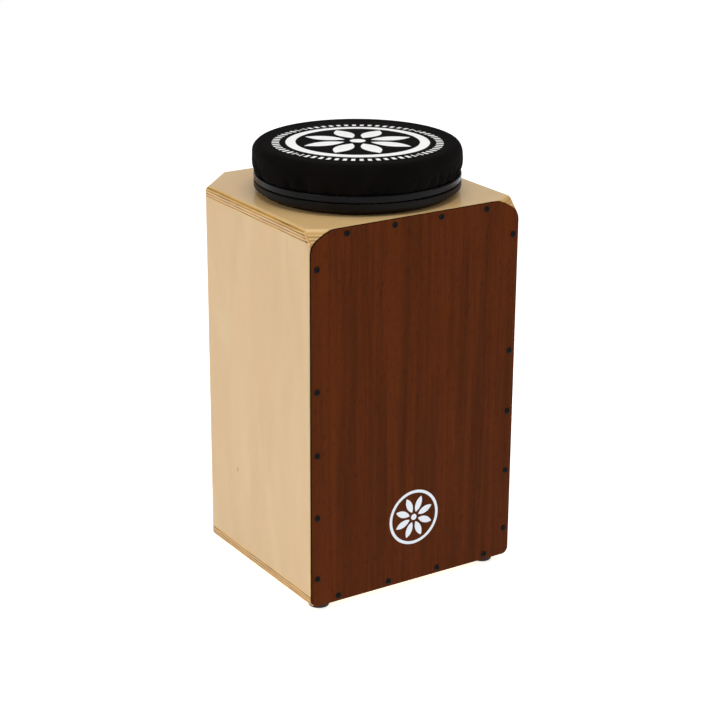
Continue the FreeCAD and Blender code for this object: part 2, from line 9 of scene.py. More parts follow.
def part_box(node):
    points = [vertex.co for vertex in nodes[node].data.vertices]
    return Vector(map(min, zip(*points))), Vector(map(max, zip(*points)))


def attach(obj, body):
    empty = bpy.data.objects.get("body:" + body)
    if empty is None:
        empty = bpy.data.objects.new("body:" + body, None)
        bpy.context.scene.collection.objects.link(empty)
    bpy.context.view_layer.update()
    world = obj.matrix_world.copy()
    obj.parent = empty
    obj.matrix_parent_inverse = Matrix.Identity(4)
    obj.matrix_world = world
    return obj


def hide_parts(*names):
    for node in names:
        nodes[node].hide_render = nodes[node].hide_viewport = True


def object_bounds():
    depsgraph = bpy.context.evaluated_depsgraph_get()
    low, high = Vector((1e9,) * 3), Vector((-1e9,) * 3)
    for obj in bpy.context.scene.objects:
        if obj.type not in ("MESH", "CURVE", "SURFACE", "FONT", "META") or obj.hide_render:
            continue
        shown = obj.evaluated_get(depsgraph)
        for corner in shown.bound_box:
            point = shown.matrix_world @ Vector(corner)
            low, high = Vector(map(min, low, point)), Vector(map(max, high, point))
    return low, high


# The looks of a box drum (cajon) with a loose swivel seat. Metres, in the row frame:
# +Z is up, the playing plate (tapa) faces -Y, and +X is to the right seen from the front.

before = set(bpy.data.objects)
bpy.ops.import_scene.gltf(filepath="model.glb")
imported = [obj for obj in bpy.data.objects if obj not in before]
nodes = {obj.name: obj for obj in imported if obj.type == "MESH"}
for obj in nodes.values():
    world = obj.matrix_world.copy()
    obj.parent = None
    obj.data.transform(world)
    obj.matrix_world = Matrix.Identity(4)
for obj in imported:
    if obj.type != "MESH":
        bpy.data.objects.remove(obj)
cad_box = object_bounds()

MM = 0.001

# ---- the seat's axis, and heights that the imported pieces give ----
plate_low, plate_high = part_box("lower_plate")
SEAT_AXIS = (plate_low + plate_high) / 2
PLATE_R = (plate_high.x - plate_low.x) / 2
RIM_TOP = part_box("upper_plate")[1].z
COVER_LOW, COVER_HIGH = (corner.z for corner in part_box("seat_cover"))

# ---- the generic print on the seat: radii from its axis ----
PRINT_RING = (75.6 * MM, 87.7 * MM)
PRINT_DASHES = (95.4 * MM, 104.4 * MM)
PRINT_DASH_COUNT = 64
PRINT_DASH_HALF_WIDTH = 2.5 * MM
PRINT_PETALS = 8
PRINT_PETAL = (17.0 * MM, 70.0 * MM)        # inner and outer end of a leaf
PRINT_PETAL_HALF_WIDTH = 11.5 * MM
PRINT_DOT_R = 9.6 * MM
PRINT_BEAD_HALF = 1.6 * MM                  # four square beads part the outer ring
PRINT_BEAD_GAP = math.radians(2.75)
PRINT_BLUR = 0.25 * MM
PRINT_TURN = math.radians(-32.8)            # the stretch cloth pulls the print a little oval this way
PRINT_SHORT = 0.88
PRINT_SHIFT = 9.0 * MM                      # and the print sits off the axis by this much, the same way

# ---- the seat's knit cloth ----
RIB_PITCH = 1.1 * MM
ROW_PITCH = 0.9 * MM
KNIT_TURNS = (112 * MM, 121 * MM)           # between these radii the ribs turn from the top to the side

# ---- plywood ----
PLY_COUNT = 9
PLY_SHEET = 15.0 * MM / PLY_COUNT
PLY_WANDER = 0.5 * MM


def srgb(red, green, blue):
    """Linear colour from 8-bit display values."""
    def linear(value):
        value /= 255
        return value / 12.92 if value <= 0.04045 else ((value + 0.055) / 1.055) ** 2.4
    return (linear(red), linear(green), linear(blue), 1.0)


# ---- a material under construction ----

class Paint:
    """A Principled material. Every input takes a number, a vector or another node's output."""

    def __init__(self, name, **constants):
        self.material = bpy.data.materials.new(name)
        self.material.use_nodes = True
        self.nodes = self.material.node_tree.nodes
        self.links = self.material.node_tree.links
        self.shader = self.nodes["Principled BSDF"]
        coordinates = self.nodes.new("ShaderNodeTexCoord")
        self.place = coordinates.outputs["Object"]
        self.facing = coordinates.outputs["Normal"]
        for key, value in constants.items():
            self.shader.inputs[key.replace("_", " ")].default_value = value

    def feed(self, socket, value):
        if isinstance(value, bpy.types.NodeSocket):
            self.links.new(value, socket)
        else:
            socket.default_value = value

    def output(self, name, value):
        self.feed(self.shader.inputs[name], value)

    def math(self, operation, *values, clamp=False):
        node = self.nodes.new("ShaderNodeMath")
        node.operation = operation
        node.use_clamp = clamp
        for socket, value in zip(node.inputs, values):
            self.feed(socket, value)
        return node.outputs[0]

    def add(self, a, b):
        return self.math("ADD", a, b)

    def times(self, a, b):
        return self.math("MULTIPLY", a, b)

    def dot(self, vector, direction):
        node = self.nodes.new("ShaderNodeVectorMath")
        node.operation = "DOT_PRODUCT"
        self.feed(node.inputs[0], vector)
        node.inputs[1].default_value = direction
        return node.outputs["Value"]

    def length(self, vector):
        node = self.nodes.new("ShaderNodeVectorMath")
        node.operation = "LENGTH"
        self.feed(node.inputs[0], vector)
        return node.outputs["Value"]

    def vector(self, x, y, z):
        node = self.nodes.new("ShaderNodeCombineXYZ")
        for socket, value in zip(node.inputs, (x, y, z)):
            self.feed(socket, value)
        return node.outputs[0]

    def stretched(self, vector, factors, shift=(0.0, 0.0, 0.0)):
        node = self.nodes.new("ShaderNodeVectorMath")
        node.operation = "MULTIPLY_ADD"
        self.feed(node.inputs[0], vector)
        node.inputs[1].default_value = factors
        node.inputs[2].default_value = shift
        return node.outputs[0]

    def noise(self, vector, scale=1.0, detail=2.0, roughness=0.5, distortion=0.0):
        node = self.nodes.new("ShaderNodeTexNoise")
        self.feed(node.inputs["Vector"], vector)
        settings = {"Scale": scale, "Detail": detail, "Roughness": roughness, "Distortion": distortion}
        for key, value in settings.items():
            node.inputs[key].default_value = value
        return node.outputs[0]

    def grain(self, vector, factors, shift=(0.0, 0.0, 0.0), **settings):
        """Noise stretched along the axes."""
        return self.noise(self.stretched(vector, factors, shift), **settings)

    def cells(self, vector, scale, output="Distance"):
        node = self.nodes.new("ShaderNodeTexVoronoi")
        self.feed(node.inputs["Vector"], vector)
        node.inputs["Scale"].default_value = scale
        return node.outputs[output]

    def ramp(self, value, low, high, to_low=0.0, to_high=1.0, smooth=True):
        node = self.nodes.new("ShaderNodeMapRange")
        node.interpolation_type = "SMOOTHSTEP" if smooth else "LINEAR"
        for socket, item in zip(node.inputs, (value, low, high, to_low, to_high)):
            self.feed(socket, item)
        return node.outputs[0]

    def mix(self, share, a, b, blend="MIX"):
        node = self.nodes.new("ShaderNodeMix")
        node.data_type = "RGBA"
        node.blend_type = blend
        self.feed(node.inputs[0], share)
        self.feed(node.inputs[6], a)
        self.feed(node.inputs[7], b)
        return node.outputs[2]

    def shade(self, colour, factor):
        """Colour made darker or lighter by a grey factor."""
        grey = self.nodes.new("ShaderNodeCombineColor")
        for socket in grey.inputs[:3]:
            self.feed(socket, factor)
        return self.mix(1.0, colour, grey.outputs[0], "MULTIPLY")

    def bump(self, height, distance, strength=1.0):
        node = self.nodes.new("ShaderNodeBump")
        node.inputs["Strength"].default_value = strength
        node.inputs["Distance"].default_value = distance
        self.feed(node.inputs["Height"], height)
        self.feed(self.shader.inputs["Normal"], node.outputs[0])


def wear(piece, material):
    """Give a piece this one material."""
    piece.data.materials.clear()
    piece.data.materials.append(material)


# ---- wood ----

def plywood(name, node, outward, along, varnish_and_painted_light, gloss):
    """Birch plywood as a solid: nine plies in from the outer face, their grain crossed.
    A ply is dark where its grain ends at the surface and pale where the grain lies in it."""
    outward, along = Vector(outward).normalized(), Vector(along)
    across = outward.cross(along)
    surface = max(outward.dot(vertex.co) for vertex in nodes[node].data.vertices)
    seed = sum(ord(letter) for letter in node) * 0.37
    paint = Paint(name, Roughness=0.46, Coat_Weight=gloss, Coat_Roughness=0.18)
    depth = paint.math("SUBTRACT", surface, paint.dot(paint.place, outward))
    run = paint.dot(paint.place, along)
    side = paint.dot(paint.place, across)

    # the plies wander a little along the panel's edges
    drift = paint.noise(paint.vector(run, side, depth), scale=9.0, detail=1.0)
    wander = paint.times(paint.add(drift, -0.5), PLY_WANDER)
    ply_place = paint.math("DIVIDE", paint.add(depth, wander), PLY_SHEET)
    ply = paint.math("FLOOR", ply_place)
    within = paint.math("FRACT", ply_place)
    odd = paint.math("GREATER_THAN", paint.math("MODULO", paint.add(ply, 0.01), 2.0), 0.5)
    ends_even = paint.math("ABSOLUTE", paint.dot(paint.facing, along))
    ends_odd = paint.math("ABSOLUTE", paint.dot(paint.facing, across))
    grain_end = paint.ramp(odd, 0.0, 1.0, ends_even, ends_odd, smooth=False)
    flat_end = paint.ramp(grain_end, 0.15, 1.0)

    # fibres run along the ply's own grain
    fibre_run = paint.ramp(odd, 0.0, 1.0, run, side, smooth=False)
    fibre_side = paint.ramp(odd, 0.0, 1.0, side, run, smooth=False)
    fibre_place = paint.vector(fibre_side, depth, fibre_run)
    fine = paint.grain(fibre_place, (900.0, 900.0, 28.0), (seed, 0, 0), detail=3.0, roughness=0.6)
    broad = paint.grain(fibre_place, (24.0, 20.0, 5.0), (seed, 3, 1), detail=3.0, distortion=0.9)
    cloud = paint.grain(fibre_place, (15.0, 8.0, 9.0), (seed, 7, 2), detail=3.0, distortion=0.4)
    flecks = paint.grain(fibre_place, (620.0, 400.0, 75.0), (seed, 1, 5), detail=1.0)

    pale = paint.mix(paint.ramp(broad, 0.25, 0.75), srgb(224, 194, 150), srgb(216, 184, 138))
    pale = paint.mix(paint.ramp(cloud, 0.35, 0.75, 0.0, 0.7), pale, srgb(222, 184, 140))
    pale = paint.shade(pale, paint.ramp(fine, 0.25, 0.75, 0.955, 1.03, smooth=False))
    pale = paint.mix(paint.ramp(flecks, 0.70, 0.78, 0.0, 0.35), pale, srgb(176, 132, 88))

    # pin knots
    knot_place = paint.stretched(fibre_place, (15.0, 15.0, 9.0), (seed, 0.3, 0.1))
    knot = paint.ramp(paint.cells(knot_place, 1.0), 0.015, 0.045, 1.0, 0.0)
    rare = paint.math("GREATER_THAN", paint.dot(paint.cells(knot_place, 1.0, "Color"), (1, 0, 0)), 0.62)
    pale = paint.mix(paint.times(paint.times(knot, rare), 0.55), pale, srgb(150, 104, 62))

    # plies seen from their edge
    tone = paint.grain(paint.vector(run, side, ply), (26.0, 26.0, 3.7), (seed, 0, 0), detail=3.0)
    edge_long = paint.mix(paint.ramp(tone, 0.35, 0.65), srgb(219, 188, 125), srgb(207, 170, 101))
    edge_end = paint.mix(paint.ramp(tone, 0.38, 0.66), srgb(176, 118, 46), srgb(118, 72, 20))
    edge_end = paint.shade(edge_end, paint.ramp(fine, 0.2, 0.8, 0.8, 1.2))
    from_face = paint.math("ABSOLUTE", paint.dot(paint.facing, outward))
    on_edge = paint.ramp(from_face, 0.75, 0.985, 1.0, 0.0)
    seen = paint.mix(flat_end, edge_long, edge_end)
    voids = paint.grain(paint.vector(run, side, ply), (75.0, 75.0, 9.0), (seed, 4, 0), detail=0.0)
    seen = paint.mix(paint.times(paint.ramp(voids, 0.76, 0.8), odd), seen, srgb(52, 32, 20))
    glue = paint.ramp(paint.math("ABSOLUTE", paint.add(within, -0.5)), 0.44, 0.5, 0.0, 0.45)
    seen = paint.mix(glue, seen, srgb(112, 70, 16))
    colour = paint.mix(on_edge, pale, seen)
    # the wood is multiplied by its panel's varnish tint; on the top panel that tint also holds painted light
    paint.output("Base Color", paint.mix(1.0, colour, varnish_and_painted_light, "MULTIPLY"))
    paint.output("Roughness", paint.ramp(fine, 0.2, 0.8, 0.42, 0.56, smooth=False))
    relief = paint.add(paint.times(fine, 0.5), paint.times(paint.times(glue, on_edge), -0.2))
    paint.bump(relief, 0.1 * MM, 0.5)
    return paint.material


def red_veneer():
    """Dark red-brown ribbon-striped veneer with open pores, its grain upright."""
    paint = Paint("red_veneer", Roughness=0.42, Specular_IOR_Level=0.03)
    ribbon = paint.grain(paint.place, (95.0, 10.0, 3.2), detail=4.0, roughness=0.62, distortion=0.5)
    wide = paint.grain(paint.place, (17.0, 5.0, 2.2), (4, 0, 1), detail=2.0)
    fine = paint.grain(paint.place, (1100.0, 300.0, 30.0), (1, 0, 3), detail=3.0, roughness=0.6)
    pores = paint.grain(paint.place, (1300.0, 700.0, 85.0), (9, 0, 0), detail=1.0)
    colour = paint.mix(paint.ramp(ribbon, 0.3, 0.72), srgb(90, 41, 12), srgb(71, 31, 8))
    colour = paint.mix(paint.ramp(wide, 0.35, 0.7, 0.0, 0.45), colour, srgb(94, 42, 10))
    colour = paint.shade(colour, paint.ramp(fine, 0.25, 0.75, 0.82, 1.15, smooth=False))
    dark_pore = paint.ramp(pores, 0.6, 0.68)
    colour = paint.mix(paint.times(dark_pore, 0.6), colour, srgb(38, 18, 11))
    edge = paint.ramp(paint.math("ABSOLUTE", paint.dot(paint.facing, (0, 1, 0))), 0.3, 0.85, 1.0, 0.0)
    paint.output("Base Color", paint.mix(edge, colour, srgb(20, 9, 6)))
    polish = paint.ramp(fine, 0.2, 0.8, 0.36, 0.5, smooth=False)
    paint.output("Roughness", paint.ramp(edge, 0.0, 1.0, polish, 0.85))
    paint.bump(paint.math("SUBTRACT", paint.times(fine, 0.4), dark_pore), 0.08 * MM, 0.5)
    return paint.material


def softwood():
    """Pale spruce for the crossbar and its cleats: growth rings as bands."""
    paint = Paint("softwood", Roughness=0.6)
    bands = paint.grain(paint.place, (9.0, 260.0, 320.0), detail=3.0, roughness=0.6)
    fine = paint.grain(paint.place, (40.0, 1500.0, 1500.0), detail=2.0)
    colour = paint.mix(paint.ramp(bands, 0.4, 0.65), srgb(228, 200, 156), srgb(196, 150, 98))
    paint.output("Base Color", paint.shade(colour, paint.ramp(fine, 0.2, 0.8, 0.9, 1.05)))
    paint.bump(bands, 0.2 * MM, 0.4)
    return paint.material


# ---- moulded and metal parts ----

def moulded(name, colour, roughness, grain=0.03, worn=0.5, **constants):
    """Injection moulded plastic or rubber with a fine texture and faint scuffs."""
    paint = Paint(name, Roughness=roughness, **constants)
    cloud = paint.noise(paint.place, scale=28.0, detail=4.0, roughness=0.6)
    scuffs = paint.grain(paint.place, (160.0, 160.0, 700.0), detail=4.0, roughness=0.75)
    tone = paint.ramp(cloud, 0.3, 0.7, 0.86, 1.14)
    base = paint.shade(colour, tone)
    lighter = tuple(min(1.0, channel * 2.4 + 0.01) for channel in colour[:3]) + (1.0,)
    paint.output("Base Color", paint.mix(paint.ramp(scuffs, 0.62, 0.8, 0.0, worn), base, lighter))
    paint.output("Roughness", paint.ramp(scuffs, 0.3, 0.75, roughness - 0.06, roughness + 0.1))
    paint.bump(paint.noise(paint.place, scale=2600.0, detail=2.0), grain * MM, 0.6)
    return paint.material


def metal(name, colour, roughness, brushed=(400.0, 400.0, 400.0)):
    """Plated or drawn steel with fine marks."""
    paint = Paint(name, Metallic=1.0, Roughness=roughness)
    marks = paint.grain(paint.place, brushed, detail=4.0, roughness=0.65)
    paint.output("Base Color", paint.shade(colour, paint.ramp(marks, 0.3, 0.7, 0.85, 1.08)))
    paint.output("Roughness", paint.ramp(marks, 0.25, 0.75, roughness - 0.07, roughness + 0.12))
    paint.bump(marks, 0.02 * MM, 0.4)
    return paint.material


def printed_white():
    """Thin white print on the veneer, with a few worn specks."""
    paint = Paint("printed_white", Roughness=0.42)
    specks = paint.grain(paint.place, (700.0, 300.0, 120.0), detail=3.0)
    worn = paint.ramp(specks, 0.66, 0.8, 0.0, 0.4)
    paint.output("Base Color", paint.mix(worn, srgb(226, 232, 239), srgb(196, 188, 182)))
    paint.bump(specks, 0.03 * MM, 0.4)
    return paint.material


# ---- seat cloth ----

def seat_cloth():
    """Black stretch jersey with fine ribs, and a generic print: a ring round a rosette of
    leaves, with a broken outer ring of dashes and beads."""
    paint = Paint("seat_cloth", Roughness=0.82, Specular_IOR_Level=0.02,
                  Sheen_Weight=0.012, Sheen_Roughness=0.45)
    centred = paint.stretched(paint.place, (1, 1, 1), (-SEAT_AXIS.x, -SEAT_AXIS.y, 0))
    turn = (math.sin(PRINT_TURN), -math.cos(PRINT_TURN), 0)
    toward = paint.math("DIVIDE", paint.add(paint.dot(centred, turn), -PRINT_SHIFT), PRINT_SHORT)
    aside = paint.dot(centred, (math.cos(PRINT_TURN), math.sin(PRINT_TURN), 0))
    radius = paint.math("SQRT", paint.add(paint.times(toward, toward), paint.times(aside, aside)))
    angle = paint.math("ARCTAN2", aside, toward)

    def band(value, low, high):
        inner = paint.ramp(value, low - PRINT_BLUR, low + PRINT_BLUR)
        outer = paint.ramp(value, high - PRINT_BLUR, high + PRINT_BLUR, 1.0, 0.0)
        return paint.times(inner, outer)

    def folded(count):
        """Angle from the middle of the nearest of count equal sectors."""
        sector = math.tau / count
        return paint.add(paint.math("FLOORED_MODULO", angle, sector), -sector / 2)

    ring = band(radius, *PRINT_RING)
    dot = paint.ramp(radius, PRINT_DOT_R - PRINT_BLUR, PRINT_DOT_R + PRINT_BLUR, 1.0, 0.0)
    fold = folded(PRINT_PETALS)
    leaf_run = paint.ramp(paint.times(radius, paint.math("COSINE", fold)), *PRINT_PETAL, smooth=False)
    leaf_side = paint.math("ABSOLUTE", paint.times(radius, paint.math("SINE", fold)))
    leaf_rest = paint.math("SUBTRACT", 1.0, leaf_run)
    swell = paint.times(paint.times(leaf_run, leaf_rest), 4 * PRINT_PETAL_HALF_WIDTH)
    leaf = paint.ramp(paint.math("SUBTRACT", swell, leaf_side), 0.0, 2 * PRINT_BLUR)

    dash_fold = paint.math("ABSOLUTE", paint.times(folded(PRINT_DASH_COUNT), PRINT_DASHES[1]))
    dash = paint.ramp(dash_fold, PRINT_DASH_HALF_WIDTH - PRINT_BLUR,
                      PRINT_DASH_HALF_WIDTH + PRINT_BLUR, 1.0, 0.0)
    group = paint.math("ABSOLUTE", folded(4))
    gap_edge = math.radians(0.25)
    gap = paint.ramp(group, PRINT_BEAD_GAP - gap_edge, PRINT_BEAD_GAP + gap_edge)
    middle = sum(PRINT_DASHES) / 2
    dashes = paint.times(paint.times(band(radius, *PRINT_DASHES), dash), gap)
    bead_side = paint.times(group, middle)
    bead_rise = paint.math("ABSOLUTE", paint.add(radius, -middle))
    bead_edge = 0.2 * MM
    bead = paint.ramp(paint.math("MAXIMUM", bead_side, bead_rise),
                      PRINT_BEAD_HALF - bead_edge, PRINT_BEAD_HALF + bead_edge, 1.0, 0.0)
    facing_up = paint.ramp(paint.dot(paint.facing, (0, 0, 1)), 0.3, 0.6)
    mark = ring
    for shape in (dot, leaf, dashes, bead):
        mark = paint.math("MAXIMUM", mark, shape)
    mark = paint.times(mark, facing_up)

    # fine ribs: straight across the top, upright round the side
    plain_radius = paint.length(paint.stretched(centred, (1, 1, 0)))
    on_side = paint.ramp(plain_radius, *KNIT_TURNS)
    right, back, up = (paint.dot(centred, axis) for axis in ((1, 0, 0), (0, 1, 0), (0, 0, 1)))
    around = paint.times(paint.math("ARCTAN2", back, right), PLATE_R)
    rib_place = paint.ramp(on_side, 0.0, 1.0, right, around, smooth=False)
    row_place = paint.ramp(on_side, 0.0, 1.0, back, up, smooth=False)
    ribs = paint.math("SINE", paint.times(rib_place, math.tau / RIB_PITCH))
    rows = paint.math("SINE", paint.times(row_place, math.tau / ROW_PITCH))
    knit = paint.add(paint.times(ribs, 0.5), paint.times(paint.times(ribs, rows), 0.35))
    lint = paint.noise(paint.place, scale=420.0, detail=4.0, roughness=0.7)
    cloud = paint.noise(paint.place, scale=16.0, detail=3.0)
    black = paint.mix(paint.ramp(cloud, 0.3, 0.7), srgb(11, 9, 8), srgb(16, 13, 12))
    black = paint.shade(black, paint.ramp(knit, -0.8, 0.8, 0.75, 1.2))
    black = paint.mix(paint.ramp(lint, 0.7, 0.82, 0.0, 0.25), black, srgb(84, 80, 76))
    white = paint.shade(srgb(250, 250, 249), paint.ramp(knit, -0.8, 0.8, 0.93, 1.0))
    paint.output("Base Color", paint.mix(mark, black, white))
    paint.output("Roughness", paint.ramp(mark, 0.0, 1.0, 0.84, 0.6))
    paint.bump(paint.add(knit, paint.times(lint, 0.5)), 0.09 * MM, 0.6)
    return paint.material


def foam_material():
    """Open-cell upholstery foam."""
    paint = Paint("foam", Roughness=0.95)
    pores = paint.cells(paint.place, 900.0)
    cloud = paint.noise(paint.place, scale=30.0, detail=3.0)
    colour = paint.mix(paint.ramp(cloud, 0.3, 0.7), srgb(226, 214, 176), srgb(214, 198, 150))
    paint.output("Base Color", paint.shade(colour, paint.ramp(pores, 0.1, 0.6, 0.7, 1.0)))
    paint.bump(pores, 0.5 * MM, 0.8)
    return paint.material


def elastic_material():
    """Woven elastic: upright cords crossed by fine rows."""
    paint = Paint("elastic", Roughness=0.8, Sheen_Weight=0.2)
    rows = paint.math("SINE", paint.times(paint.dot(paint.place, (0, 0, 1)), math.tau / (0.6 * MM)))
    lint = paint.noise(paint.place, scale=700.0, detail=3.0)
    weave = paint.add(rows, lint)
    paint.output("Base Color", paint.mix(paint.ramp(weave, -0.5, 1.5), srgb(20, 19, 20), srgb(52, 50, 52)))
    paint.bump(weave, 0.1 * MM, 0.7)
    return paint.material


# ---- the padded seat ----

PROFILE_RAYS = 240              # rays that find the CAD cover's outline, over this many degrees
PROFILE_SWEEP = 106
RAY_LENGTH = 0.4

SEGMENTS = 288                  # points round the cover, and the distance between its rings
RING_STEP = 3.8 * MM
SHOULDER_PUSH = 2.8 * MM        # the stretched cloth makes the cushion's shoulder squarer by this much
SHOULDER_AT = 129.0 * MM        # the shoulder's middle and its reach, measured out and down from the crown
SHOULDER_REACH = 16.0 * MM
START_INSET = 0.8 * MM          # the cover starts smaller, because it swells
GATHER = 0.11                   # extra cloth at the hem, as a share of its length
CREASE = 2.6 * MM               # depth of the first creases that the simulation works on
CREASE_WIDTH = 11.0 * MM
SWELL_OUT = 1.5 * MM            # the cover stays within these distances of its form
SWELL_IN = 2.4 * MM
SWELL_ASIDE = 2.5 * MM
FOLD_GAIN = 1.6                 # the folds stand out this much more than the solver makes them
SIMULATION_SCALE = 20.0
SIMULATION_FRAMES = 36
CLOTH_THICKNESS = 1.1 * MM

# bands of the cover, measured out and down from its crown: each changes from the first value to the second
CREASES_FROM = (124 * MM, 138 * MM)
HELD_ABOVE = (128 * MM, 140 * MM)
GATHERS_FROM = (128 * MM, 164 * MM)
INSET_FROM = (130 * MM, 144 * MM)
HEM_HELD = 1.5 * MM             # the hem is held up to this height over the rim

# the foam inside the cover
FOAM_INSET = 3.4 * MM
FOAM_HEM_INSET = 3.0 * MM       # and this much more near the hem
FOAM_BELOW = 2.3 * MM
FOAM_STEP = 7.0 * MM
FOAM_SEGMENTS = 96
FOAM_SLUMP = 0.8 * MM


def line_normals(line):
    """Unit vectors square to a line of points, on its outer side."""
    slopes = np.gradient(line, axis=0)
    normals = np.column_stack([-slopes[:, 1], slopes[:, 0]])
    return normals / np.linalg.norm(normals, axis=1)[:, None]


def outer_profile():
    """(radius, height) points of the CAD cover's outside, from the middle of the top to the hem,
    with its shoulder pushed out."""
    mesh = nodes["seat_cover"].data
    tree = BVHTree.FromPolygons([v.co for v in mesh.vertices], [tuple(p.vertices) for p in mesh.polygons])
    centre = Vector((SEAT_AXIS.x, SEAT_AXIS.y, RIM_TOP + 12 * MM))
    points = []
    for step in range(PROFILE_RAYS + 1):
        slope = math.radians(90 - PROFILE_SWEEP * step / PROFILE_RAYS)
        away = Vector((math.cos(slope), 0.02 * math.cos(slope), math.sin(slope)))
        hit = tree.ray_cast(centre + away * RAY_LENGTH, -away, RAY_LENGTH)[0]
        if hit is not None and hit.z > COVER_LOW + 0.2 * MM:
            points.append((math.hypot(hit.x - centre.x, hit.y - centre.y), hit.z))
    line = np.array(points)
    reach = np.abs(line[:, 0] + COVER_HIGH - line[:, 1] - SHOULDER_AT) / SHOULDER_REACH
    push = SHOULDER_PUSH * np.cos(np.minimum(reach, 1.0) * math.pi / 2) ** 2
    return line + line_normals(line) * push[:, None]


def even_steps(points, step):
    """The same line with points at equal distances along it."""
    line = np.array(points)
    lengths = np.concatenate([[0.0], np.cumsum(np.hypot(*np.diff(line, axis=0).T))])
    count = max(2, round(lengths[-1] / step)) + 1
    marks = np.linspace(0.0, lengths[-1], count)
    return np.column_stack([np.interp(marks, lengths, line[:, axis]) for axis in (0, 1)]), marks


def fullness(azimuth):
    """How much extra cloth the hem gathers there. Azimuth 0 is the front, negative to the left."""
    # the cloth bunches on the left and, less, at the front right
    ripple = noise.noise(Vector((math.cos(azimuth) * 2.1, math.sin(azimuth) * 2.1, 5.3)))
    left = math.exp(-((azimuth + 1.45) / 0.7) ** 2)
    right = math.exp(-((azimuth - 0.5) / 0.3) ** 2)
    return max(0.15, 0.35 + 0.3 * ripple + 0.85 * left + 0.35 * right)


def smoothstep(value, low, high):
    t = np.clip((value - low) / (high - low), 0.0, 1.0)
    return t * t * (3 - 2 * t)


def ring_mesh(name, rings, middle):
    """Mesh of stacked rings of equal count round a middle point."""
    count = len(rings[0])
    vertices = [middle] + [point for ring in rings for point in ring]
    faces = [(0, 1 + k, 1 + (k + 1) % count) for k in range(count)]
    for level in range(len(rings) - 1):
        low = 1 + level * count
        for k in range(count):
            after = (k + 1) % count
            faces.append((low + k, low + count + k, low + count + after, low + after))
    mesh = bpy.data.meshes.new(name)
    mesh.from_pydata(vertices, [], faces)
    mesh.validate()
    piece = bpy.data.objects.new(name, mesh)
    bpy.context.scene.collection.objects.link(piece)
    mesh.shade_smooth()
    return piece


def ring_points(radius, height, count=SEGMENTS, extra=None):
    points = []
    for k in range(count):
        azimuth = math.tau * k / count - math.pi
        wide = radius * (1 + (extra(azimuth) if extra else 0.0))
        x, y = SEAT_AXIS.x + wide * math.sin(azimuth), SEAT_AXIS.y - wide * math.cos(azimuth)
        points.append((x, y, height))
    return points


def simulated(piece, rest, pins, frames):
    """The piece's points after a cloth simulation towards its rest shape, swelled by pressure.
    The piece is simulated many times its size, where the solver's forces suit its mesh."""
    start = np.zeros(len(piece.data.vertices) * 3, np.float32)
    piece.data.vertices.foreach_get("co", start)
    piece.data.vertices.foreach_set("co", start * SIMULATION_SCALE)
    piece.shape_key_add(name="Basis")
    cut = piece.shape_key_add(name="cut")
    cut.data.foreach_set("co", np.array(rest, np.float32).ravel() * SIMULATION_SCALE)
    group = piece.vertex_groups.new(name="pin")
    for index, weight in enumerate(pins):
        if weight > 0:
            group.add([index], weight, "REPLACE")
    # the solver only reads its rest shape when another modifier, here a neutral one, comes first
    neutral = piece.modifiers.new("neutral", "EDGE_SPLIT")
    neutral.use_edge_angle = neutral.use_edge_sharp = False
    cloth = piece.modifiers.new("cloth", "CLOTH")
    settings = cloth.settings
    settings.quality = 6
    settings.mass = 0.05
    settings.tension_stiffness = 25
    settings.compression_stiffness = 25
    settings.shear_stiffness = 8
    settings.bending_stiffness = 4.0
    settings.bending_damping = 0.5
    settings.air_damping = 2.0
    settings.use_pressure = True
    settings.uniform_pressure_force = 0.2
    settings.vertex_group_mass = "pin"
    settings.rest_shape_key = cut
    settings.effector_weights.gravity = 0.0
    cloth.collision_settings.use_collision = False
    cloth.point_cache.frame_start = 1
    cloth.point_cache.frame_end = frames
    scene = bpy.context.scene
    for number in range(1, frames + 1):
        scene.frame_set(number)
    evaluated = piece.evaluated_get(bpy.context.evaluated_depsgraph_get())
    points = np.zeros(len(evaluated.data.vertices) * 3, np.float32)
    evaluated.data.vertices.foreach_get("co", points)
    scene.frame_set(1)
    piece.modifiers.clear()
    piece.shape_key_clear()
    piece.vertex_groups.clear()
    return points.reshape(-1, 3).astype(float) / SIMULATION_SCALE


def soft_limit(value, low, high):
    """Displacement kept inside -low to high, with a smooth approach to both."""
    return np.where(value > 0, high * np.tanh(value / high), low * np.tanh(value / low))


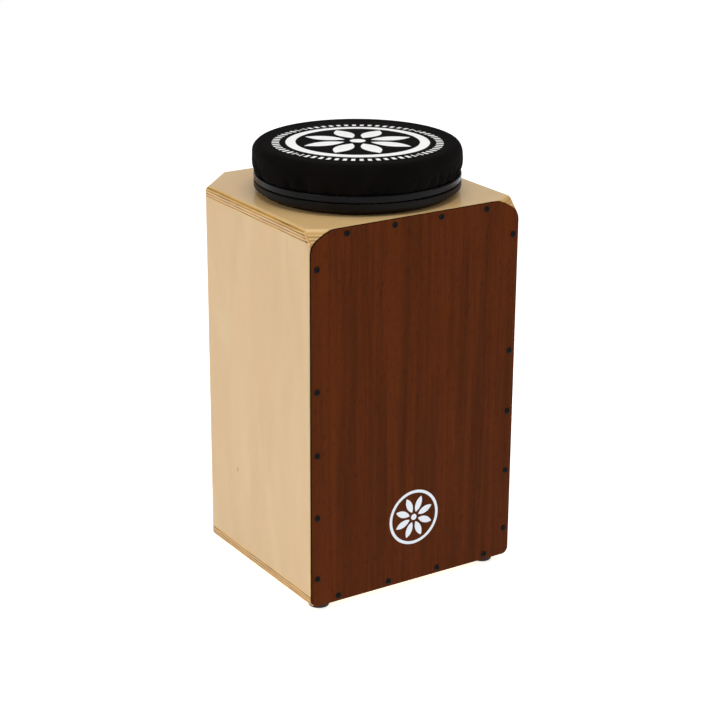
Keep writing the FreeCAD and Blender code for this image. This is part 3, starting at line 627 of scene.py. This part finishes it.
def seat_cover():
    """The stretch cover: simulated cloth, gathered at its hem and swelled by the foam."""
    profile, marks = even_steps(outer_profile(), RING_STEP)
    total = marks[-1]
    normals = line_normals(profile)
    levels = range(1, len(profile))
    along = profile[:, 0] + (COVER_HIGH - profile[:, 1])
    down = smoothstep(along, *GATHERS_FROM)

    def ring(level, inset, gathered):
        radius, height = profile[level] - normals[level] * inset
        share = down[level] * gathered
        return ring_points(radius, height, extra=lambda azimuth: share * fullness(azimuth))

    middle = (SEAT_AXIS.x, SEAT_AXIS.y, COVER_HIGH)
    target = np.array([middle] + [p for level in levels for p in ring(level, 0.0, 0.0)])
    hem = smoothstep(RIM_TOP + HEM_HELD - profile[:, 1], 0.0, 2.0 * MM)
    inset = START_INSET * smoothstep(along, *INSET_FROM)
    start = [ring(level, inset[level], 0.0) for level in levels]
    piece = ring_mesh("seat_cover_cloth", start, middle)
    rest = [middle] + [p for level in levels for p in ring(level, 0.0, GATHER)]
    side = smoothstep(along, *CREASES_FROM)
    for index, vertex in enumerate(piece.data.vertices):
        level = (index - 1) // SEGMENTS + 1 if index else 0
        out = Vector((vertex.co.x - SEAT_AXIS.x, vertex.co.y - SEAT_AXIS.y, 0)).normalized()
        place = out * PLATE_R / CREASE_WIDTH
        crease = noise.noise(Vector((place.x, place.y, vertex.co.z / (5 * CREASE_WIDTH))))
        full = fullness(math.atan2(out.x, -out.y))
        vertex.co += out * crease * CREASE * side[level] * full
    held = np.maximum(smoothstep(-along, -HELD_ABOVE[1], -HELD_ABOVE[0]), hem)
    pins = [1.0] + [float(held[level]) for level in levels for _ in range(SEGMENTS)]
    moved = simulated(piece, rest, pins, SIMULATION_FRAMES)
    outward = np.array([(0.0, 0.0, 1.0)] + [
        (normals[level][0] * math.sin(a), -normals[level][0] * math.cos(a), normals[level][1])
        for level in levels for a in (math.tau * k / SEGMENTS - math.pi for k in range(SEGMENTS))])
    shift = moved - target
    out = (shift * outward).sum(axis=1)
    aside = shift - out[:, None] * outward
    folds = out[1:].reshape(-1, SEGMENTS)
    level_mean = folds.mean(axis=1, keepdims=True)
    gain = 1.0 + (FOLD_GAIN - 1.0) * (1.0 - held[1:, None])
    folds[:] = level_mean + (folds - level_mean) * gain
    reach = np.linalg.norm(aside, axis=1)
    kept = soft_limit(reach, SWELL_ASIDE, SWELL_ASIDE) / np.maximum(reach, 1e-9)
    final = target + outward * soft_limit(out, SWELL_IN, SWELL_OUT)[:, None] + aside * kept[:, None]
    piece.data.vertices.foreach_set("co", final.astype(np.float32).ravel())
    piece.data.update()
    thick = piece.modifiers.new("thickness", "SOLIDIFY")
    thick.thickness = CLOTH_THICKNESS
    thick.offset = -1.0
    smooth = piece.modifiers.new("smooth", "SUBSURF")
    smooth.levels = smooth.render_levels = 1
    wear(piece, seat_cloth())
    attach(piece, "seat")
    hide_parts("seat_cover")
    return piece, total


def foam_pad():
    """The round foam block inside the cover, its edges a little slumped."""
    low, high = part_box("foam_cushion")
    outline = []
    for radius, height in outer_profile():
        near_hem = float(smoothstep(-height, -RIM_TOP - 12 * MM, -RIM_TOP - 4 * MM))
        inset = FOAM_INSET + FOAM_HEM_INSET * near_hem
        outline.append((radius - inset if radius > 40 * MM else radius, height - FOAM_BELOW))
    profile, _ = even_steps(outline, FOAM_STEP)
    rings = [ring_points(max(radius, 2 * MM), height, FOAM_SEGMENTS)
             for radius, height in profile if height > low.z + 2 * MM]
    for height, share in ((low.z + 0.4 * MM, 0.985), (low.z, 0.95), (low.z, 0.6), (low.z, 0.15)):
        rings.append(ring_points(profile[-1][0] * share, height, FOAM_SEGMENTS))
    piece = ring_mesh("foam_pad", rings[1:], (SEAT_AXIS.x, SEAT_AXIS.y, high.z - 0.6 * MM))
    for vertex in piece.data.vertices:
        if vertex.co.z > low.z + 3 * MM:
            vertex.co.z -= abs(noise.noise(Vector(vertex.co) * 30.0)) * FOAM_SLUMP
    wear(piece, foam_material())
    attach(piece, "seat")
    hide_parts("foam_cushion")
    return piece


foam = foam_pad()
cover, cut_radius = seat_cover()


# ---- finishes of the CAD pieces ----

PANELS = {
    "top_panel": ((0, 0, 1), (0, 1, 0)),
    "bottom_panel": ((0, 0, -1), (0, 1, 0)),
    "left_side_panel": ((-1, 0, 0), (0, 0, 1)),
    "right_side_panel": ((1, 0, 0), (0, 0, 1)),
    "left_rear_corner_panel": ((-1, 1, 0), (0, 0, 1)),
    "right_rear_corner_panel": ((1, 1, 0), (0, 0, 1)),
    "back_panel": ((0, 1, 0), (0, 0, 1)),
}
CLEAR_VARNISH = (0.88, 0.855, 0.785, 1.0)
CLEAR_GLOSS = 0.12
# the top panel's brighter, yellower tint is painted light: it stands in for how the light falls on and
# reflects from the top; the bottom panel gets a warmer, lighter tint
PANEL_TINTS_WITH_PAINTED_LIGHT = {
    "top_panel": ((1.0, 0.945, 0.75, 1.0), 0.5),
    "bottom_panel": ((1.0, 0.945, 0.80, 1.0), 0.12),
}
for panel, (outward, along) in PANELS.items():
    varnish_and_painted_light, gloss = PANEL_TINTS_WITH_PAINTED_LIGHT.get(panel, (CLEAR_VARNISH, CLEAR_GLOSS))
    wear(nodes[panel], plywood("plywood_" + panel, panel, outward, along, varnish_and_painted_light, gloss))

black_screw = moulded("black_screw", srgb(9, 10, 9), 0.5, grain=0.02, worn=0.2, Specular_IOR_Level=0.12)
zinc = metal("zinc", srgb(196, 200, 204), 0.34)
bright_steel = metal("bright_steel", srgb(214, 216, 220), 0.16)
snare_steel = metal("snare_steel", srgb(190, 188, 182), 0.26, (2500.0, 2500.0, 60.0))
spruce = softwood()
FINISHES = {
    red_veneer(): ("tapa",),
    printed_white(): ("front_emblem",),
    black_screw: ("tapa_screws",),
    moulded("foot_rubber", srgb(24, 24, 25), 0.74, grain=0.08): (
        "front_left_foot", "front_right_foot", "rear_left_foot", "rear_right_foot"),
    moulded("grip_rubber", srgb(30, 30, 32), 0.8, grain=0.1): ("grip_ring",),
    zinc: ("foot_washers", "foot_screws", "crossbar_screws", "snare_clip_screws",
           "retaining_washer", "lock_nut", "pivot_bolt"),
    bright_steel: ("bearing_balls",),
    snare_steel: ("left_snare_wires", "right_snare_wires", "left_snare_clip", "right_snare_clip"),
    spruce: ("snare_crossbar", "left_crossbar_cleat", "right_crossbar_cleat"),
    moulded("upper_plastic", srgb(9, 8, 11), 0.26, grain=0.02, worn=0.2,
            Specular_IOR_Level=0.12): ("upper_plate",),
    moulded("lower_plastic", srgb(16, 14, 12), 0.45, grain=0.04, worn=0.2,
            Specular_IOR_Level=0.1): ("lower_plate",),
    moulded("cage_plastic", srgb(222, 218, 204), 0.45, grain=0.02, worn=0.1): ("ball_cage", "thrust_washer"),
    elastic_material(): ("cover_elastic",),
}
for material, names in FINISHES.items():
    for name in names:
        wear(nodes[name], material)


# ---- stage: floor, light and camera ----

def floor():
    """A wide pale floor with a barely visible unevenness."""
    mesh = bpy.data.meshes.new("floor")
    reach, count = 16.0, 24
    line = np.linspace(-reach, reach, count)
    mesh.from_pydata(
        [(x, y, 0.0) for y in line for x in line], [],
        [(r * count + c, r * count + c + 1, (r + 1) * count + c + 1, (r + 1) * count + c)
         for r in range(count - 1) for c in range(count - 1)])
    plane = bpy.data.objects.new("floor", mesh)
    bpy.context.scene.collection.objects.link(plane)
    paint = Paint("floor", Roughness=0.8, Specular_IOR_Level=0.15,
                  Emission_Color=(1, 1, 1, 1), Emission_Strength=0.68)
    cloud = paint.noise(paint.place, scale=1.5, detail=3.0)
    paint.output("Base Color", paint.mix(cloud, (0.90, 0.90, 0.90, 1), (0.93, 0.93, 0.93, 1)))
    wear(plane, paint.material)


def softbox(name, azimuth, elevation, distance, size, power):
    """A square area light that looks at the middle of the object."""
    centre = (cad_box[0] + cad_box[1]) / 2
    side, rise = math.radians(azimuth), math.radians(elevation)
    away = Vector((math.sin(side) * math.cos(rise), -math.cos(side) * math.cos(rise), math.sin(rise)))
    light = bpy.data.lights.new(name, "AREA")
    light.size = size
    light.energy = power
    lamp = bpy.data.objects.new(name, light)
    lamp.location = centre + away * distance
    lamp.rotation_euler = away.to_track_quat("Z", "Y").to_euler()
    bpy.context.scene.collection.objects.link(lamp)


floor()
softbox("key", azimuth=-84, elevation=34, distance=2.4, size=0.6, power=12)
softbox("front", azimuth=32, elevation=38, distance=3.0, size=1.8, power=15)
softbox("overhead", azimuth=-20, elevation=82, distance=2.6, size=1.6, power=30)
softbox("rear", azimuth=152, elevation=20, distance=3.0, size=1.4, power=2)
world = bpy.data.worlds.new("studio")
world.use_nodes = True
world.node_tree.nodes["Background"].inputs["Color"].default_value = (1, 1, 1, 1)
world.node_tree.nodes["Background"].inputs["Strength"].default_value = 0.30
bpy.context.scene.world = world
bpy.context.scene.view_settings.view_transform = "Standard"

CAMERA_TARGET = Vector((-0.0807, -0.1499, 0.3170))
CAMERA_DISTANCE = 2.3014
CAMERA_AZIMUTH = math.radians(-32.82)
CAMERA_ELEVATION = math.radians(19.91)
CAMERA_ROLL = math.radians(0.33)
CAMERA_LENS = 97.43


def camera():
    """The photograph's viewing angle: the object seen from its front left."""
    data = bpy.data.cameras.new("camera")
    data.lens = CAMERA_LENS
    data.sensor_width = 36.0
    data.clip_start, data.clip_end = 0.05, 100.0
    back = Vector((math.sin(CAMERA_AZIMUTH) * math.cos(CAMERA_ELEVATION),
                   -math.cos(CAMERA_AZIMUTH) * math.cos(CAMERA_ELEVATION), math.sin(CAMERA_ELEVATION)))
    right = Vector((math.cos(CAMERA_AZIMUTH), math.sin(CAMERA_AZIMUTH), 0.0))
    up = back.cross(right)
    rolled_right = right * math.cos(CAMERA_ROLL) + up * math.sin(CAMERA_ROLL)
    rolled_up = up * math.cos(CAMERA_ROLL) - right * math.sin(CAMERA_ROLL)
    turn = Matrix((rolled_right, rolled_up, back)).transposed()
    view = bpy.data.objects.new("camera", data)
    view.matrix_world = Matrix.Translation(CAMERA_TARGET + back * CAMERA_DISTANCE) @ turn.to_4x4()
    bpy.context.scene.collection.objects.link(view)
    bpy.context.scene.camera = view


camera()
